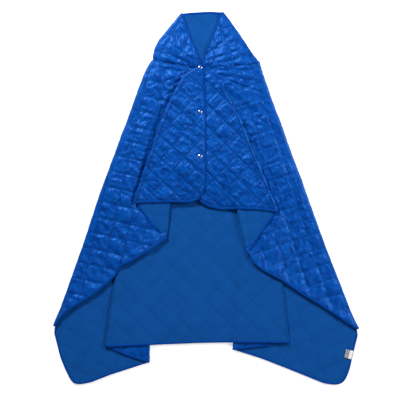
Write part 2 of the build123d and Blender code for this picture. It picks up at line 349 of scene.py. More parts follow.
def lay(stack, plan, lift, passes=22):
    """The underside of a sheet laid on the stack and held up to lift, and the new stack."""
    mask = cover(plan)
    weight = mask + 1e-6
    base = np.maximum(stack, lift)
    z = base.copy()
    for _ in range(passes):
        z = np.maximum(base, blur(z * weight) / blur(weight))
        z = np.where(mask, z, base)
    for _ in range(3):
        z = blur(z * weight) / blur(weight)
    inner = blur(mask.astype(float))
    return z, np.where(inner > 0.45, z + LAYER, stack)


def near(x, y, radius):
    return np.exp(-((XX - x * MM) ** 2 + (YY - y * MM) ** 2) / (radius * MM) ** 2)


UP = smooth(-0.33, 0.10, YY) * (1 - 0.75 * smooth(0.53, 0.66, YY))
UP_FLAP = smooth(-0.13, 0.14, YY)
COLLAR = near(-30, 522, 36)
LIFTS = {
    "back": 12 * MM * smooth(0.0, 0.2, YY) * (1 - smooth(0.50, 0.64, YY)),
    "front_left": 18 * MM * UP + 8 * MM * COLLAR,
    "front_right": 18 * MM * UP + 4 * MM * COLLAR + 8 * MM * near(38, 480, 48),
    "front_pleat": 24 * MM * UP_FLAP,
    "flap_right": 30.3 * MM * UP_FLAP,
    "flap_left": 36.4 * MM * UP_FLAP,
}
HEIGHTS = {}
stack = np.zeros(XX.shape)
for side in ("left", "right"):
    HEIGHTS["wing", side], stack = lay(stack, GRIDS[side]["wing"][NECK:], 0 * XX)
for side in ("left", "right"):
    HEIGHTS["pleat", side], stack = lay(stack, GRIDS[side]["pleat"][NECK:], 0 * XX)
HEIGHTS["back", ""], stack = lay(stack, BACK, LIFTS["back"])
for side in ("right", "left"):
    HEIGHTS["front", side], stack = lay(stack, GRIDS[side]["front"], LIFTS["front_" + side])
for side in ("left", "right"):
    plan_below_neck = GRIDS[side]["front_pleat"][NECK:]
    HEIGHTS["front_pleat", side], stack = lay(stack, plan_below_neck, LIFTS["front_pleat"])
for side in ("right", "left"):
    HEIGHTS["flap", side], stack = lay(stack, FLAPS[side], LIFTS["flap_" + side])


def lifted(key, plan):
    """A plan grid with the middle of its layer's height as a third coordinate."""
    field = HEIGHTS[key]
    fx = np.clip((plan[..., 0] - GX[0]) / CELL, 0, len(GX) - 1.001)
    fy = np.clip((plan[..., 1] - GY[0]) / CELL, 0, len(GY) - 1.001)
    i, j = fx.astype(int), fy.astype(int)
    u, v = fx - i, fy - j
    z = (field[i, j] * (1 - u) + field[i + 1, j] * u) * (1 - v)
    z += (field[i, j + 1] * (1 - u) + field[i + 1, j + 1] * u) * v
    return np.concatenate([plan, (z + LAYER / 2)[..., None]], 2)


# ---- cloth meshes ----


def arc(a, b, out, bulge):
    """Columns of a round fold from the line a up to the line b."""
    turn = np.linspace(-math.pi / 2, math.pi / 2, ARC_COLUMNS + 2)[1:-1]
    middle, half = (a + b) / 2, (b - a) / 2
    reach = np.minimum(np.abs(half[:, 2]) + 1.0 * MM, bulge)
    columns = [middle + half * math.sin(t) + out * (reach * math.cos(t))[:, None] for t in turn]
    return np.stack(columns, 1)


def fold_out(line, sign):
    """The unit direction in plan that a fold bulges to, square to its line."""
    d = np.gradient(line[:, :2], axis=0)
    d /= np.maximum(np.linalg.norm(d, axis=1), 1e-9)[:, None]
    n = np.stack([-d[:, 1], d[:, 0], 0 * d[:, 0]], 1)
    return n * np.sign(n[:, :1] * sign + 1e-12)


def quilt_height(q):
    """The quilt's rise from its seams, 0 to 1, its two coordinates, and the distances to its seams."""
    a, b = (q[..., 0] + q[..., 1]) / math.sqrt(2), (q[..., 0] - q[..., 1]) / math.sqrt(2)
    da = np.abs((a / PITCH) % 1 - 0.5) * PITCH
    db = np.abs((b / PITCH) % 1 - 0.5) * PITCH
    rise = (1 - np.exp(-da / (7 * MM))) * (1 - np.exp(-db / (7 * MM)))
    return rise, a, b, da, db


def puckers(a, b, da, db):
    """The small creases that run away from the seams in the taut outer ply."""
    across_a = value_noise(b / (7.0 * MM), a / (60 * MM), 11) * np.exp(-da / (11 * MM))
    across_b = value_noise(a / (7.0 * MM), b / (60 * MM), 12) * np.exp(-db / (11 * MM))
    ridge = 1 - np.abs(value_noise(a / (46 * MM), b / (17 * MM), 13))
    ridge2 = 1 - np.abs(value_noise(a / (18 * MM), b / (52 * MM), 14))
    return 0.7 * MM * (across_a + across_b) + 0.75 * MM * (ridge**4 + ridge2**4 - 0.4)


def streaks(mid):
    """Long thin creases that run away from the gathered neck."""
    x, y = mid[..., 0] / MM + 12, 500 - mid[..., 1] / MM
    angle, far = np.arctan2(x, y), np.hypot(x, y)
    wide = 1 - np.abs(value_noise(angle * 22 + 50, far / 75, 51))
    fine = 1 - np.abs(value_noise(angle * 41 + 50, far / 60 + 5, 52))
    return MM * (2.6 * wide**5 + 1.5 * fine**4) * smooth(0, 90, far)


def simulate(points, held, flip):
    """The outer ply of a grid after a short cloth simulation: sewn down where held is 1, slack between."""
    rows, columns = points.shape[:2]
    index = np.arange(rows * columns).reshape(rows, columns)
    ring = np.stack([index[:-1, :-1], index[1:, :-1], index[1:, 1:], index[:-1, 1:]], 2).reshape(-1, 4)
    if not flip:
        ring = ring[:, ::-1]
    mesh = bpy.data.meshes.new("ply")
    mesh.from_pydata([tuple(p) for p in points.reshape(-1, 3)], [], ring.tolist())
    ply = bpy.data.objects.new("ply", mesh)
    bpy.context.scene.collection.objects.link(ply)
    group = ply.vertex_groups.new(name="held")
    group.add([int(k) for k in np.flatnonzero(held.ravel() > 0.5)], 1.0, "REPLACE")
    cloth = ply.modifiers.new("cloth", "CLOTH")
    cloth.settings.vertex_group_mass = "held"
    cloth.settings.quality = 4
    cloth.settings.mass = 0.12
    cloth.settings.tension_stiffness = 12
    cloth.settings.compression_stiffness = 12
    cloth.settings.shear_stiffness = 4
    cloth.settings.bending_stiffness = 0.03
    cloth.settings.air_damping = 2.0
    cloth.settings.shrink_min = -0.06
    cloth.settings.use_pressure = True
    cloth.settings.uniform_pressure_force = 0.15
    cloth.settings.effector_weights.gravity = 0
    cloth.collision_settings.use_collision = False
    for at in range(1, SIM_FRAMES + 1):
        bpy.context.scene.frame_set(at)
    done = ply.evaluated_get(bpy.context.evaluated_depsgraph_get()).to_mesh()
    out = np.zeros(rows * columns * 3)
    done.vertices.foreach_get("co", out)
    bpy.data.objects.remove(ply)
    bpy.context.scene.frame_set(1)
    return out.reshape(rows, columns, 3)


def build(name, mid, quilt, edge_fade, up, materials, nylon_up=True, loose=None):
    """A two-sided quilted sheet round a grid of middle points, and its normals.

    up is the sign that turns the normals to the nylon, and loose is the range of columns that is simulated."""
    rows, columns = mid.shape[:2]
    dr, dc = np.gradient(mid, axis=0), np.gradient(mid, axis=1)
    normal = np.cross(dc, dr) * up
    size = np.linalg.norm(normal, axis=2, keepdims=True)
    fallback = np.zeros_like(normal)
    fallback[..., 2] = 1.0 if nylon_up else -1.0
    normal = np.where(size > 1e-9, normal / np.maximum(size, 1e-12), fallback)
    rise, a, b, da, db = quilt_height(quilt)
    streak = streaks(mid)
    relief = (puckers(a, b, da, db) + streak) * (0.35 + 0.65 * rise)
    nylon = HALF_THICK + edge_fade * (NYLON_PUFF * rise + relief)
    fuzz = 0.35 * MM * value_noise(a / (18 * MM), b / (18 * MM), 21)
    fleece = HALF_THICK + edge_fade * (FLEECE_PUFF * rise + fuzz)
    pulled = np.hypot(mid[..., 0] + 12 * MM, mid[..., 1] - 486 * MM)
    nylon = HALF_THICK + (nylon - HALF_THICK) * (0.3 + 0.7 * smooth(35 * MM, 190 * MM, pulled))
    front, rear = mid + normal * nylon[..., None], mid - normal * fleece[..., None]
    if loose is not None:
        part = slice(*loose)
        held = (np.minimum(da, db) < 2.6 * MM) | (edge_fade < 0.9)
        held = held[:, part]
        held[0] = held[-1] = held[:, 0] = held[:, -1] = True
        start, n = front[:, part], normal[:, part]
        moved = simulate(start, held, up < 0) - start
        reach = np.linalg.norm(moved, axis=2, keepdims=True)
        moved *= np.minimum(1, SIM_CAP / np.maximum(reach, 1e-9))
        new = start + moved
        above = ((new - mid[:, part]) * n).sum(2)
        low = np.minimum(above - HALF_THICK, 0)
        high = np.maximum(above - NYLON_TOP, 0)
        front[:, part] = new - n * (low + high)[..., None]
    # points that fall together in a row share one vertex, as where a pleat starts
    index = np.arange(rows * columns).reshape(rows, columns)
    step = np.linalg.norm(np.diff(mid, axis=1), axis=2)
    for j in range(1, columns):
        index[:, j] = np.where(step[:, j - 1] < 1e-6, index[:, j - 1], index[:, j])
    count = rows * columns
    points = np.concatenate([front.reshape(-1, 3), rear.reshape(-1, 3)])
    points[:, 2] = np.maximum(points[:, 2], FLOOR_GAP)
    faces, slots = [], []

    def quad(corners, slot):
        ring = [c for k, c in enumerate(corners) if c != corners[k - 1]]
        if len(ring) > 2:
            faces.append(ring)
            slots.append(slot)

    flip = up < 0
    for i in range(rows - 1):
        for j in range(columns - 1):
            ring = [index[i, j], index[i + 1, j], index[i + 1, j + 1], index[i, j + 1]]
            if flip:
                ring = ring[::-1]
            quad([int(c) for c in ring[::-1]], 0)
            quad([int(c) + count for c in ring], 1)
    border = [(0, j) for j in range(columns)] + [(i, columns - 1) for i in range(1, rows)]
    border += [(rows - 1, j) for j in range(columns - 2, -1, -1)] + [(i, 0) for i in range(rows - 2, 0, -1)]
    loop = [int(index[p]) for p in border]
    loop = [c for k, c in enumerate(loop) if c != loop[k - 1]]
    for k, c in enumerate(loop):
        d = loop[(k + 1) % len(loop)]
        ring = [c, d, d + count, c + count]
        quad(ring[::-1] if flip else ring, 2)
    used = sorted({c for f in faces for c in f})
    remap = {c: k for k, c in enumerate(used)}
    mesh = bpy.data.meshes.new(name)
    mesh.from_pydata([tuple(points[c]) for c in used], [], [[remap[c] for c in f] for f in faces])
    mesh.update()
    mesh.polygons.foreach_set("material_index", slots)
    mesh.polygons.foreach_set("use_smooth", [True] * len(faces))
    uv = mesh.uv_layers.new(name="quilt")
    where = np.array(used) % count
    flat_uv = quilt.reshape(-1, 2)[where] / PITCH
    loops = np.zeros(len(mesh.loops), int)
    mesh.loops.foreach_get("vertex_index", loops)
    uv.data.foreach_set("uv", flat_uv[loops].ravel())
    for material in materials:
        mesh.materials.append(material)
    obj = bpy.data.objects.new(name, mesh)
    bpy.context.scene.collection.objects.link(obj)
    return obj, normal


def sweep(name, path, inward, normal, half_wide, half_high, material, sides=12):
    """A folded tape along an edge: a flattened tube with closed ends."""
    keep = [0]
    for k in range(1, len(path)):
        if np.linalg.norm(path[k] - path[keep[-1]]) > 1.2 * MM:
            keep.append(k)
    path, inward, normal = path[keep], inward[keep], normal[keep]
    turn = np.linspace(0, 2 * math.pi, sides, endpoint=False)
    wide = np.sign(np.cos(turn)) * np.abs(np.cos(turn)) ** 0.75 * half_wide
    high = np.sign(np.sin(turn)) * np.abs(np.sin(turn)) ** 0.6 * half_high
    length = np.r_[0, np.cumsum(np.linalg.norm(np.diff(path, axis=0), axis=1))]
    ripple = 0.25 * MM * value_noise(length / (9 * MM), 0 * length, 31)
    rings = path[:, None] + inward[:, None] * (wide[None, :, None] + half_wide * 0.72)
    rings = rings + normal[:, None] * (high[None, :, None] + ripple[:, None, None])
    rows = len(path)
    points = rings.reshape(-1, 3)
    points[:, 2] = np.maximum(points[:, 2], FLOOR_GAP)
    faces = []
    for i in range(rows - 1):
        for j in range(sides):
            k = (j + 1) % sides
            faces.append([i * sides + j, i * sides + k, (i + 1) * sides + k, (i + 1) * sides + j])
    faces.append(list(range(sides))[::-1])
    faces.append([(rows - 1) * sides + j for j in range(sides)])
    mesh = bpy.data.meshes.new(name)
    mesh.from_pydata([tuple(p) for p in points], [], faces)
    mesh.update()
    mesh.polygons.foreach_set("use_smooth", [True] * len(faces))
    uv = mesh.uv_layers.new(name="tape")
    loops = np.zeros(len(mesh.loops), int)
    mesh.loops.foreach_get("vertex_index", loops)
    around = np.tile(np.arange(sides) / sides, rows)
    uv.data.foreach_set("uv", np.stack([np.repeat(length / MM, sides)[loops], around[loops]], 1).ravel())
    mesh.materials.append(material)
    obj = bpy.data.objects.new(name, mesh)
    bpy.context.scene.collection.objects.link(obj)
    # outward normals whichever way the path runs
    bm = bmesh.new()
    bm.from_mesh(mesh)
    bmesh.ops.recalc_face_normals(bm, faces=bm.faces)
    bm.to_mesh(mesh)
    bm.free()
    return obj


# ---- materials ----


def new_material(name):
    material = bpy.data.materials.new(name)
    material.use_nodes = True
    nodes, links = material.node_tree.nodes, material.node_tree.links
    shader = nodes["Principled BSDF"]
    return material, nodes, links, shader


def node(nodes, kind, **values):
    made = nodes.new(kind)
    for key, value in values.items():
        if key in made.inputs:
            made.inputs[key].default_value = value
        else:
            setattr(made, key, value)
    return made


def ramp(nodes, links, source, low, high, colour_low, colour_high):
    made = nodes.new("ShaderNodeValToRGB")
    made.color_ramp.elements[0].position, made.color_ramp.elements[0].color = low, (*colour_low, 1)
    made.color_ramp.elements[1].position, made.color_ramp.elements[1].color = high, (*colour_high, 1)
    links.new(source, made.inputs["Fac"])
    return made.outputs["Color"]


def painted_seam_shade(nodes, links, colour, wide, keep):
    """The colour with painted shade, darker where it goes down into a quilting seam."""
    uv = node(nodes, "ShaderNodeUVMap", uv_map="quilt")
    turn = node(nodes, "ShaderNodeVectorRotate", rotation_type="Z_AXIS", Angle=math.radians(45))
    links.new(uv.outputs["UV"], turn.inputs["Vector"])
    split = nodes.new("ShaderNodeSeparateXYZ")
    links.new(turn.outputs["Vector"], split.inputs["Vector"])
    nearest = node(nodes, "ShaderNodeMath", operation="MINIMUM")
    for k, axis in enumerate(("X", "Y")):
        shift = node(nodes, "ShaderNodeMath", operation="ADD")
        shift.inputs[1].default_value = 0.5
        wave = node(nodes, "ShaderNodeMath", operation="PINGPONG")
        wave.inputs[1].default_value = 0.5
        links.new(split.outputs[axis], shift.inputs[0])
        links.new(shift.outputs[0], wave.inputs[0])
        links.new(wave.outputs[0], nearest.inputs[k])
    depth = node(nodes, "ShaderNodeMapRange")
    depth.inputs["From Max"].default_value = wide
    depth.inputs["To Min"].default_value = keep
    depth.inputs["To Max"].default_value = 1.0
    links.new(nearest.outputs[0], depth.inputs["Value"])
    tint = node(nodes, "ShaderNodeMix", data_type="RGBA", blend_type="MULTIPLY")
    tint.inputs["Factor"].default_value = 1.0
    links.new(colour, tint.inputs[6])
    links.new(depth.outputs["Result"], tint.inputs[7])
    return tint.outputs[2]


def nylon_material():
    material, nodes, links, shader = new_material("nylon")
    uv = node(nodes, "ShaderNodeUVMap", uv_map="quilt")
    patches = node(nodes, "ShaderNodeTexNoise", Scale=2.2, Detail=3.0)
    links.new(uv.outputs["UV"], patches.inputs["Vector"])
    shade = ramp(nodes, links, patches.outputs["Fac"], 0.35, 0.65, (0.0002, 0.044, 0.285), (0.0010, 0.076, 0.40))
    # painted shade: the nylon's colour is darkened in the grooves of the quilting seams
    links.new(painted_seam_shade(nodes, links, shade, 0.045, 0.6), shader.inputs["Base Color"])
    shader.inputs["Specular IOR Level"].default_value = 0.75
    shader.inputs["Specular Tint"].default_value = (0.09, 0.36, 1.0, 1)
    rough = node(nodes, "ShaderNodeTexNoise", Scale=9.0, Detail=4.0)
    links.new(uv.outputs["UV"], rough.inputs["Vector"])
    spread = node(nodes, "ShaderNodeMapRange")
    spread.inputs["To Min"].default_value = 0.35
    spread.inputs["To Max"].default_value = 0.5
    links.new(rough.outputs["Fac"], spread.inputs["Value"])
    links.new(spread.outputs["Result"], shader.inputs["Roughness"])
    creases = node(nodes, "ShaderNodeTexNoise", Scale=5.0, Detail=2.0, Roughness=0.45, Distortion=0.5)
    links.new(uv.outputs["UV"], creases.inputs["Vector"])
    bump = node(nodes, "ShaderNodeBump", Strength=0.3, Distance=0.004)
    links.new(creases.outputs["Fac"], bump.inputs["Height"])
    weave = node(nodes, "ShaderNodeTexWave", Scale=26.0, wave_type="BANDS", bands_direction="DIAGONAL")
    links.new(uv.outputs["UV"], weave.inputs["Vector"])
    fine = node(nodes, "ShaderNodeBump", Strength=0.08, Distance=0.0003)
    links.new(weave.outputs["Fac"], fine.inputs["Height"])
    links.new(bump.outputs["Normal"], fine.inputs["Normal"])
    links.new(fine.outputs["Normal"], shader.inputs["Normal"])
    return material


def fleece_material():
    material, nodes, links, shader = new_material("fleece")
    uv = node(nodes, "ShaderNodeUVMap", uv_map="quilt")
    pile = node(nodes, "ShaderNodeTexNoise", Scale=26.0, Detail=4.0, Roughness=0.7)
    links.new(uv.outputs["UV"], pile.inputs["Vector"])
    colour = ramp(nodes, links, pile.outputs["Fac"], 0.3, 0.7, (0.0020, 0.056, 0.262), (0.0070, 0.090, 0.360))
    broad = node(nodes, "ShaderNodeTexNoise", Scale=0.9, Detail=3.0)
    links.new(uv.outputs["UV"], broad.inputs["Vector"])
    mottle = node(nodes, "ShaderNodeMix", data_type="RGBA", blend_type="MULTIPLY")
    mottle.inputs["Factor"].default_value = 1.0
    # painted shade: the fleece's colour is darkened in the grooves of the quilting seams
    links.new(painted_seam_shade(nodes, links, colour, 0.03, 0.78), mottle.inputs[6])
    links.new(ramp(nodes, links, broad.outputs["Fac"], 0.3, 0.7, (0.86, 0.88, 0.9), (1, 1, 1)), mottle.inputs[7])
    links.new(mottle.outputs[2], shader.inputs["Base Color"])
    shader.inputs["Roughness"].default_value = 0.95
    shader.inputs["Specular IOR Level"].default_value = 0.05
    shader.inputs["Sheen Weight"].default_value = 0.35
    shader.inputs["Sheen Roughness"].default_value = 0.6
    shader.inputs["Sheen Tint"].default_value = (0.02, 0.36, 1.0, 1)
    bump = node(nodes, "ShaderNodeBump", Strength=0.6, Distance=0.0015)
    links.new(pile.outputs["Fac"], bump.inputs["Height"])
    links.new(bump.outputs["Normal"], shader.inputs["Normal"])
    return material


def tape_material():
    material, nodes, links, shader = new_material("binding_tape")
    uv = node(nodes, "ShaderNodeUVMap", uv_map="tape")
    ribs = node(nodes, "ShaderNodeTexNoise", Scale=0.35, Detail=3.0)
    links.new(uv.outputs["UV"], ribs.inputs["Vector"])
    colour = ramp(nodes, links, ribs.outputs["Fac"], 0.3, 0.7, (0.0004, 0.036, 0.24), (0.0008, 0.054, 0.32))
    links.new(colour, shader.inputs["Base Color"])
    shader.inputs["Roughness"].default_value = 0.5
    shader.inputs["Specular IOR Level"].default_value = 0.3
    shader.inputs["Specular Tint"].default_value = (0.08, 0.36, 1.0, 1)
    bump = node(nodes, "ShaderNodeBump", Strength=0.5, Distance=0.001)
    links.new(ribs.outputs["Fac"], bump.inputs["Height"])
    links.new(bump.outputs["Normal"], shader.inputs["Normal"])
    return material


NYLON, FLEECE, TAPE = nylon_material(), fleece_material(), tape_material()
CLOTH = [NYLON, FLEECE, TAPE]


# ---- sides, back and flaps ----


def fade_from(distance):
    """0 at a bound edge, 1 inside it."""
    return smooth(3 * MM, 16 * MM, distance)


def border(mid, normal, points, step):
    """The path of an edge's points, the unit directions from it into the sheet, and the normals."""
    path = np.array([mid[p] for p in points])
    inward = []
    for (i, j), (di, dj) in zip(points, step):
        d = mid[i + di, j + dj] - mid[i, j]
        n = normal[i, j]
        d = d - n * (d @ n)
        size = np.linalg.norm(d)
        inward.append(d / size if size > 1e-8 else inward[-1])
    inward = np.array(inward)
    # square to the run of the edge
    run = np.gradient(path, axis=0)
    run /= np.maximum(np.linalg.norm(run, axis=1), 1e-9)[:, None]
    inward = inward - run * (inward * run).sum(1)[:, None]
    inward /= np.maximum(np.linalg.norm(inward, axis=1), 1e-9)[:, None]
    return path, inward, np.array([normal[p] for p in points])


def hem_distance(mid):
    """Distance along the columns to the last row."""
    d = np.linalg.norm(np.diff(mid, axis=0), axis=2)
    return np.concatenate([np.cumsum(d[::-1], axis=0)[::-1], np.zeros((1, mid.shape[1]))])


def gather(side, plan):
    """Creases of the gathered neck, as a drop of the surface."""
    lines = {
        "left": [
            ((-178, 511), (-24, 481), 7, 11),
            ((-182, 482), (-40, 474), 6, 6),
            ((-165, 470), (-50, 462), 6, 4),
            ((-178, 545), (-26, 492), 6, 5),
            ((-150, 590), (-28, 502), 8, 4),
            ((-150, 440), (-183, 250), 8, 5),
        ],
        "right": [
            ((-11, 507), (132, 556), 6, 7),
            ((-6, 487), (196, 500), 6, 9),
            ((0, 478), (150, 478), 8, 10),
            ((0, 496), (168, 528), 5, 6),
            ((10, 470), (170, 440), 7, 6),
            ((-14, 520), (80, 600), 7, 4),
            ((40, 452), (190, 400), 8, 5),
        ],
    }[side]
    drop = np.zeros(plan.shape[:-1])
    for a, b, wide, deep in lines:
        a, b = np.array(a) * MM, np.array(b) * MM
        t = np.clip(((plan[..., :2] - a) @ (b - a)) / ((b - a) @ (b - a)), -0.1, 1.1)
        miss = np.linalg.norm(plan[..., :2] - a - t[..., None] * (b - a), axis=-1)
        drop += deep * MM * np.exp(-((miss / (wide * MM)) ** 2)) * (1 - 0.5 * np.abs(2 * t - 1))
    return drop


def swell(side, plan):
    """Broad soft folds that spread from the neck."""
    x, y = plan[..., 0] / MM + 12, 486 - plan[..., 1] / MM
    angle = np.arctan2(np.abs(x), np.maximum(y, 20))
    far = np.hypot(x, y)
    seed = 41 if side == "left" else 42
    fall = np.exp(-far / 420)
    return 5.5 * MM * value_noise(angle * 13, far / 260, seed) * fall


def side_piece(side):
    out = OUTWARD[side]
    g = GRIDS[side]
    pleat, wing = lifted(("pleat", side), g["pleat"]), lifted(("wing", side), g["wing"])
    front, fp = lifted(("front", side), g["front"]), lifted(("front_pleat", side), g["front_pleat"])
    front[..., 2] += swell(side, front) * smooth(0, 0.1, np.linspace(0, 1, len(V)))[:, None] - gather(side, front)
    front[..., 2] += HEM_LIFT * np.exp(-((hem_distance(front) / (38 * MM)) ** 2))
    valley = LINES[side]["flap"][NECK::3] + [out * 7 * MM, 0]
    gap = np.linalg.norm(front[:, :, None, :2] - valley[None, None], axis=3).min(2)
    front[..., 2] -= VALLEY_DEEP * np.exp(-((gap / (13 * MM)) ** 2)) * smooth(0.47, 0.36, front[..., 1])
    back_edge = lifted(("back", ""), BACK)[:, 0 if side == "left" else -1]
    flap_edge = fp[:, 0].copy()
    flap_height = lifted(("flap", side), LINES[side]["flap"][:, None])[:, 0]
    flap_edge[:, 2] = flap_height[:, 2] + RIDGE * smooth(0.47, 0.36, flap_edge[:, 1])
    # above the neck the pleats have no width: they close up on the hood's side and on the lapel
    pleat[:NECK] = back_edge[:NECK, None]
    wing[:NECK] = back_edge[:NECK, None]
    fp[:NECK] = front[:NECK, -1:]
    flap_edge[:NECK] = front[:NECK, -1]
    inside = -out
    arc_back = arc(back_edge, pleat[:, 0], fold_out(back_edge, out), 8 * MM)
    arc_tuck = arc(pleat[:, -1], wing[:, -1], fold_out(wing[:, -1], inside), 5 * MM)
    arc_side = arc(wing[:, 0], front[:, 0], fold_out(front[:, 0], out), 13 * MM)
    arc_front = arc(front[:, -1], fp[:, -1], fold_out(front[:, -1], inside), 8 * MM)
    arc_flap = arc(fp[:, 0], flap_edge, fold_out(fp[:, 0], out), 9 * MM)
    arc_back[:NECK] = back_edge[:NECK, None]
    arc_tuck[:NECK] = back_edge[:NECK, None]
    arc_front[:NECK] = front[:NECK, -1:]
    arc_flap[:NECK] = front[:NECK, -1:]
    blocks = [
        back_edge[:, None],
        arc_back,
        pleat,
        arc_tuck,
        wing[:, ::-1],
        arc_side,
        front,
        arc_front,
        fp[:, ::-1],
        arc_flap,
        flap_edge[:, None],
    ]
    q_pleat, q_wing = flat(side, "pleat", g["pleat"]), flat(side, "wing", g["wing"])
    q_front, q_hood = flat(side, "front", g["front"]), flat(side, "hood", g["front"])
    mix = smooth(NECK - 5, NECK + 6, np.arange(len(V)))[:, None, None]
    q_front = q_hood * (1 - mix) + q_front * mix
    q_fp = flat(side, "front_pleat", g["front_pleat"])
    q_back = BACK[:, 0 if side == "left" else -1]
    q_flap = flat(side, "flap", LINES[side]["flap"])

    def between(a, b):
        t = np.linspace(0, 1, ARC_COLUMNS + 2)[1:-1]
        return a[:, None] * (1 - t)[None, :, None] + b[:, None] * t[None, :, None]

    quilts = [
        q_back[:, None],
        between(q_back, q_pleat[:, 0]),
        q_pleat,
        between(q_pleat[:, -1], q_wing[:, -1]),
        q_wing[:, ::-1],
        between(q_wing[:, 0], q_front[:, 0]),
        q_front,
        between(q_front[:, -1], q_fp[:, -1]),
        q_fp[:, ::-1],
        between(q_fp[:, 0], q_flap),
        q_flap[:, None],
    ]
    mid, quilt = np.concatenate(blocks, 1), np.concatenate(quilts, 1)
    columns = mid.shape[1]
    fade = fade_from(hem_distance(mid))
    first_front = sum(b.shape[1] for b in blocks[:6])
    last_front = first_front + front.shape[1] - 1
    lapel_gap = np.linalg.norm(mid - front[:, -1:], axis=2)
    lapel = np.where(np.arange(len(V))[:, None] < NECK, fade_from(lapel_gap), 1.0)
    calm = np.ones(mid.shape[:2])
    calm[:, first_front : last_front + 1] = 0.3 + 0.7 * smooth(
        2 * MM, 26 * MM, np.linalg.norm(front - front[:, :1], axis=2)
    )
    calm[:, first_front - ARC_COLUMNS - 4 : first_front] = 0.3
    calm[:, : 1 + ARC_COLUMNS + pleat.shape[1] + ARC_COLUMNS] = 0.35
    fade = fade * calm
    loose = (first_front - ARC_COLUMNS, last_front + 1)
    obj, normal = build(side + "_side_cloth", mid, quilt, fade * lapel, out, CLOTH, True, loose)
    hem = [(len(V) - 1, j) for j in range(columns)]
    path, inward, up = border(mid, normal, hem, [(-1, 0)] * columns)
    hem_tape = sweep(side + "_side_hem_tape", path, inward, up, TAPE_WIDE, TAPE_HIGH, TAPE)
    lapel_points = [(i, last_front) for i in range(NECK + 3)]
    path, inward, up = border(mid, normal, lapel_points, [(0, -1)] * len(lapel_points))
    lapel_tape = sweep(side + "_lapel_tape", path, inward, up, TAPE_WIDE, TAPE_HIGH, TAPE)
    return obj, [hem_tape, lapel_tape]


def back_piece():
    mid = lifted(("back", ""), BACK)
    wave = value_noise(mid[..., 0] / (110 * MM) + 9, mid[..., 1] / (150 * MM) + 9, 61)
    span = np.linspace(0, 1, mid.shape[1])
    below_hood = np.clip(np.linspace(0, 3, len(V)), 0, 1)[:, None]
    mid[..., 2] += 2.5 * MM * (wave + 1) * (4 * span * (1 - span))[None] * below_hood
    fade = fade_from(hem_distance(mid)) * fade_from(hem_distance(mid[::-1])[::-1])
    obj, normal = build("back_cloth", mid, BACK.copy(), fade, 1.0, CLOTH, False)
    columns = mid.shape[1]
    tapes = []
    for name, row, step in (("back_hem_tape", len(V) - 1, -1), ("hood_tape", 0, 1)):
        points = [(row, j) for j in range(columns)]
        path, inward, up = border(mid, normal, points, [(step, 0)] * columns)
        tapes.append(sweep(name, path, inward, up, TAPE_WIDE, TAPE_HIGH, TAPE))
    return obj, tapes


def flap_piece(side):
    plan = FLAPS[side]
    mid = lifted(("flap", side), plan)
    at_neck = smooth(0.10, 0.0, np.linspace(0, 1, FLAP_ROWS))
    mid[..., 2] -= 2 * MM * at_neck[:, None]
    from_fold = np.linalg.norm(plan - plan[:, :1], axis=2)
    mid[..., 2] += RIDGE * np.exp(-((from_fold / (18 * MM)) ** 2)) * smooth(0.47, 0.36, plan[:, :1, 1])
    quilt = flat(side, "flap", plan)
    to_edge = np.linalg.norm(mid - mid[:, -1:], axis=2)
    fade = fade_from(hem_distance(mid)) * fade_from(to_edge)
    for name in ("neck", "upper", "lower"):
        low, high = (np.array(c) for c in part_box(name + "_snap_cap"))
        away = np.linalg.norm(plan - ((low + high) / 2)[:2], axis=2)
        fade = fade * smooth(6 * MM, 22 * MM, away)
        mid[..., 2] += 0.8 * MM * (1 - smooth(8 * MM, 30 * MM, away)) * (side == "left")
    obj, normal = build(side + "_flap_cloth", mid, quilt, fade, OUTWARD[side], CLOTH, True, (0, FLAP_COLUMNS))
    rows, columns = mid.shape[:2]
    points = [(rows - 1, j) for j in range(columns)] + [(i, columns - 1) for i in range(rows - 2, 1, -1)]
    steps = [(-1, 0)] * (columns - 1) + [(-1, -1)] + [(0, -1)] * (rows - 3)
    path, inward, up = border(mid, normal, points, steps)
    tape = sweep(side + "_flap_tape", path, inward, up, TAPE_WIDE, TAPE_HIGH, TAPE)
    return obj, [tape]


# for each flap, a line from its fold's hem end to the neck, where it stays gathered, and the inward direction
# square to it; the flap itself is not bent
BEND_HEIGHT, BEND_WIDE = 33.0, 45
BEND_LINE = {"left": [(-265, -18), (-4, 492)], "right": [(265, -51), (-8, 490)]}
back, back_tapes = back_piece()
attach(back, "root")
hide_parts("back_shell", "back_batting", "back_lining", "back_binding")
for tape in back_tapes:
    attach(tape, "root")
for side in ("left", "right"):
    cloth, tapes = side_piece(side)
    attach(cloth, "root")
    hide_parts(*[side + "_side_" + ply for ply in ("shell", "batting", "lining", "binding")])
    for tape in tapes:
        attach(tape, "root")
    cloth, tapes = flap_piece(side)
    foot, neck = (np.array([*p, BEND_HEIGHT]) * MM for p in BEND_LINE[side])
    inward = np.cross(neck - foot, (0, 0, 1.0))
    inward *= -OUTWARD[side] * np.sign(inward[0]) / np.linalg.norm(inward)
    for piece in [cloth] + tapes:
        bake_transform(piece)
    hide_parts(*[side + "_flap_" + ply for ply in ("shell", "batting", "lining", "binding")])


# ---- snaps: glossy caps ----
def gloss(name, colour, roughness, coat_roughness=0.1, coat_ior=1.5):
    material, nodes, links, shader = new_material(name)
    noise = node(nodes, "ShaderNodeTexNoise", Scale=900.0, Detail=2.0)
    speckle = ramp(nodes, links, noise.outputs["Fac"], 0.3, 0.7, [c * 0.9 for c in colour], colour)
    links.new(speckle, shader.inputs["Base Color"])
    shader.inputs["Roughness"].default_value = roughness
    shader.inputs["Coat Weight"].default_value = 1.0
    shader.inputs["Coat Roughness"].default_value = coat_roughness
    shader.inputs["Coat IOR"].default_value = coat_ior
    return material


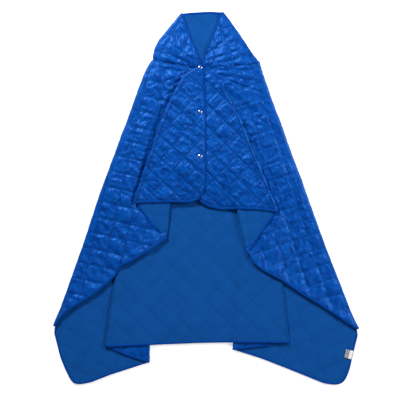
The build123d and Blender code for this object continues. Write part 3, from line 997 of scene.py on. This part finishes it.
CAP = gloss("snap_cap_gloss", (0.001, 0.060, 0.36), 0.25, 0.2, 2.6)
RING = gloss("snap_ring_gloss", (0.25, 0.27, 0.30), 0.3)
for name in ("neck", "upper", "lower"):
    for part, material in (("cap", CAP), ("back_cap", CAP), ("socket", RING), ("stud", RING)):
        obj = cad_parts[name + "_snap_" + part]
        obj.data.materials.clear()
        obj.data.materials.append(material)


# ---- care label ----
def label_material():
    material, nodes, links, shader = new_material("label_satin")
    uv = node(nodes, "ShaderNodeUVMap", uv_map="label")
    # a block of plain rows of dashes, which say nothing
    rows = node(nodes, "ShaderNodeTexBrick", Scale=9.0)
    rows.inputs["Color1"].default_value = (0.01, 0.012, 0.02, 1)
    rows.inputs["Color2"].default_value = (0.07, 0.08, 0.10, 1)
    rows.inputs["Mortar"].default_value = (0.86, 0.87, 0.88, 1)
    rows.inputs["Mortar Size"].default_value = 0.03
    links.new(uv.outputs["UV"], rows.inputs["Vector"])
    split = nodes.new("ShaderNodeSeparateXYZ")
    links.new(uv.outputs["UV"], split.inputs["Vector"])
    block = node(nodes, "ShaderNodeMapRange", interpolation_type="SMOOTHSTEP")
    block.inputs["From Min"].default_value = 0.42
    block.inputs["From Max"].default_value = 0.46
    links.new(split.outputs["Y"], block.inputs["Value"])
    mix = node(nodes, "ShaderNodeMix", data_type="RGBA")
    links.new(block.outputs["Result"], mix.inputs["Factor"])
    mix.inputs[6].default_value = (0.86, 0.87, 0.88, 1)
    links.new(rows.outputs["Color"], mix.inputs[7])
    links.new(mix.outputs[2], shader.inputs["Base Color"])
    shader.inputs["Roughness"].default_value = 0.5
    return material


def label_piece():
    high = np.array(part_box("care_label")[1])
    foot, turn = np.array([0.545, -0.604]), math.radians(77)
    long_way = np.array([math.cos(turn), math.sin(turn)])
    wide_way = np.array([-long_way[1], long_way[0]])
    centre = foot + long_way * 16.5 * MM + wide_way * 14.5 * MM
    n = LABEL_POINTS
    uu, vv = np.meshgrid(np.linspace(-1, 1, n), np.linspace(-1, 1, n), indexing="ij")
    plan = centre + uu[..., None] * long_way * 16.3 * MM + vv[..., None] * wide_way * 14 * MM
    z = high[2] + 0.6 * MM + 1.6 * MM * (vv + 1) / 2 + 0.8 * MM * np.sin(uu * 2.2) * (vv + 1) / 2
    top = np.concatenate([plan, z[..., None]], 2).reshape(-1, 3)
    low_side = top - [0, 0, 0.5 * MM]
    faces = []
    for i in range(n - 1):
        for j in range(n - 1):
            ring = [i * n + j, (i + 1) * n + j, (i + 1) * n + j + 1, i * n + j + 1]
            faces += [ring, [c + n * n for c in ring[::-1]]]
    loop = [j for j in range(n)] + [i * n + n - 1 for i in range(1, n)]
    loop += [(n - 1) * n + j for j in range(n - 2, -1, -1)] + [i * n for i in range(n - 2, 0, -1)]
    for k, c in enumerate(loop):
        d = loop[(k + 1) % len(loop)]
        faces.append([c, d, d + n * n, c + n * n])
    mesh = bpy.data.meshes.new("label_cloth")
    mesh.from_pydata([tuple(p) for p in np.concatenate([top, low_side])], [], faces)
    uv = mesh.uv_layers.new(name="label")
    flat_uv = np.stack([(uu + 1) / 2, (vv + 1) / 2], 2).reshape(-1, 2)
    flat_uv = np.concatenate([flat_uv, flat_uv])
    for loop_item, uv_item in zip(mesh.loops, uv.data):
        uv_item.uv = flat_uv[loop_item.vertex_index]
    mesh.polygons.foreach_set("use_smooth", [True] * len(mesh.polygons))
    mesh.materials.append(label_material())
    obj = bpy.data.objects.new("label_cloth", mesh)
    bpy.context.scene.collection.objects.link(obj)
    return obj


label = label_piece()
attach(label, "care_label_tab")
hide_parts("care_label")
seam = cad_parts["care_label_seam"]
seam.data.materials.clear()
seam.data.materials.append(gloss("label_thread", (0.6, 0.62, 0.66), 0.6))

# ---- floor, lights and camera ----
floor_mesh = bpy.data.meshes.new("studio_floor")
FLOOR_HALF, FLOOR_Z = 30, -0.0015
floor_corners = [(x * FLOOR_HALF, y * FLOOR_HALF, FLOOR_Z) for x, y in ((-1, -1), (1, -1), (1, 1), (-1, 1))]
floor_mesh.from_pydata(floor_corners, [], [[0, 1, 2, 3]])
floor = bpy.data.objects.new("studio_floor", floor_mesh)
bpy.context.scene.collection.objects.link(floor)
paper, _, _, paper_shader = new_material("studio_paper")
paper_shader.inputs["Base Color"].default_value = (0.93, 0.93, 0.93, 1)
paper_shader.inputs["Roughness"].default_value = 0.9
paper_shader.inputs["Emission Color"].default_value = (1, 1, 1, 1)
paper_shader.inputs["Emission Strength"].default_value = 0.5
floor_mesh.materials.append(paper)


def area_light(name, place, target, size, watts):
    data = bpy.data.lights.new(name, "AREA")
    data.shape, data.size, data.energy = "DISK", size, watts
    lamp = bpy.data.objects.new(name, data)
    bpy.context.scene.collection.objects.link(lamp)
    lamp.location = place
    d = np.array(target, float) - np.array(place, float)
    d /= np.linalg.norm(d)
    lamp.rotation_euler = (math.acos(-d[2]), 0, math.atan2(-d[0], d[1]))
    return lamp


area_light("key", (-1.3, 2.5, 2.2), (0, 0.2, 0), 0.9, 122)
area_light("side", (2.7, 0.9, 2.1), (0, 0, 0), 0.9, 62)
area_light("low", (1.9, -2.3, 2.2), (0, -0.2, 0), 1.0, 16)
world = bpy.data.worlds.new("studio")
bpy.context.scene.world = world
world.use_nodes = True
world.node_tree.nodes["Background"].inputs["Color"].default_value = (1, 1, 1, 1)
world.node_tree.nodes["Background"].inputs["Strength"].default_value = 0.16
bpy.context.scene.view_settings.view_transform = "Standard"

VIEW_WIDE = 1.494
camera_data = bpy.data.cameras.new("camera")
camera_data.lens, camera_data.sensor_width = 100, 36
camera = bpy.data.objects.new("camera", camera_data)
camera.location = (-0.0224, -0.0065, VIEW_WIDE * camera_data.lens / camera_data.sensor_width + 0.02)
bpy.context.scene.collection.objects.link(camera)
bpy.context.scene.camera = camera
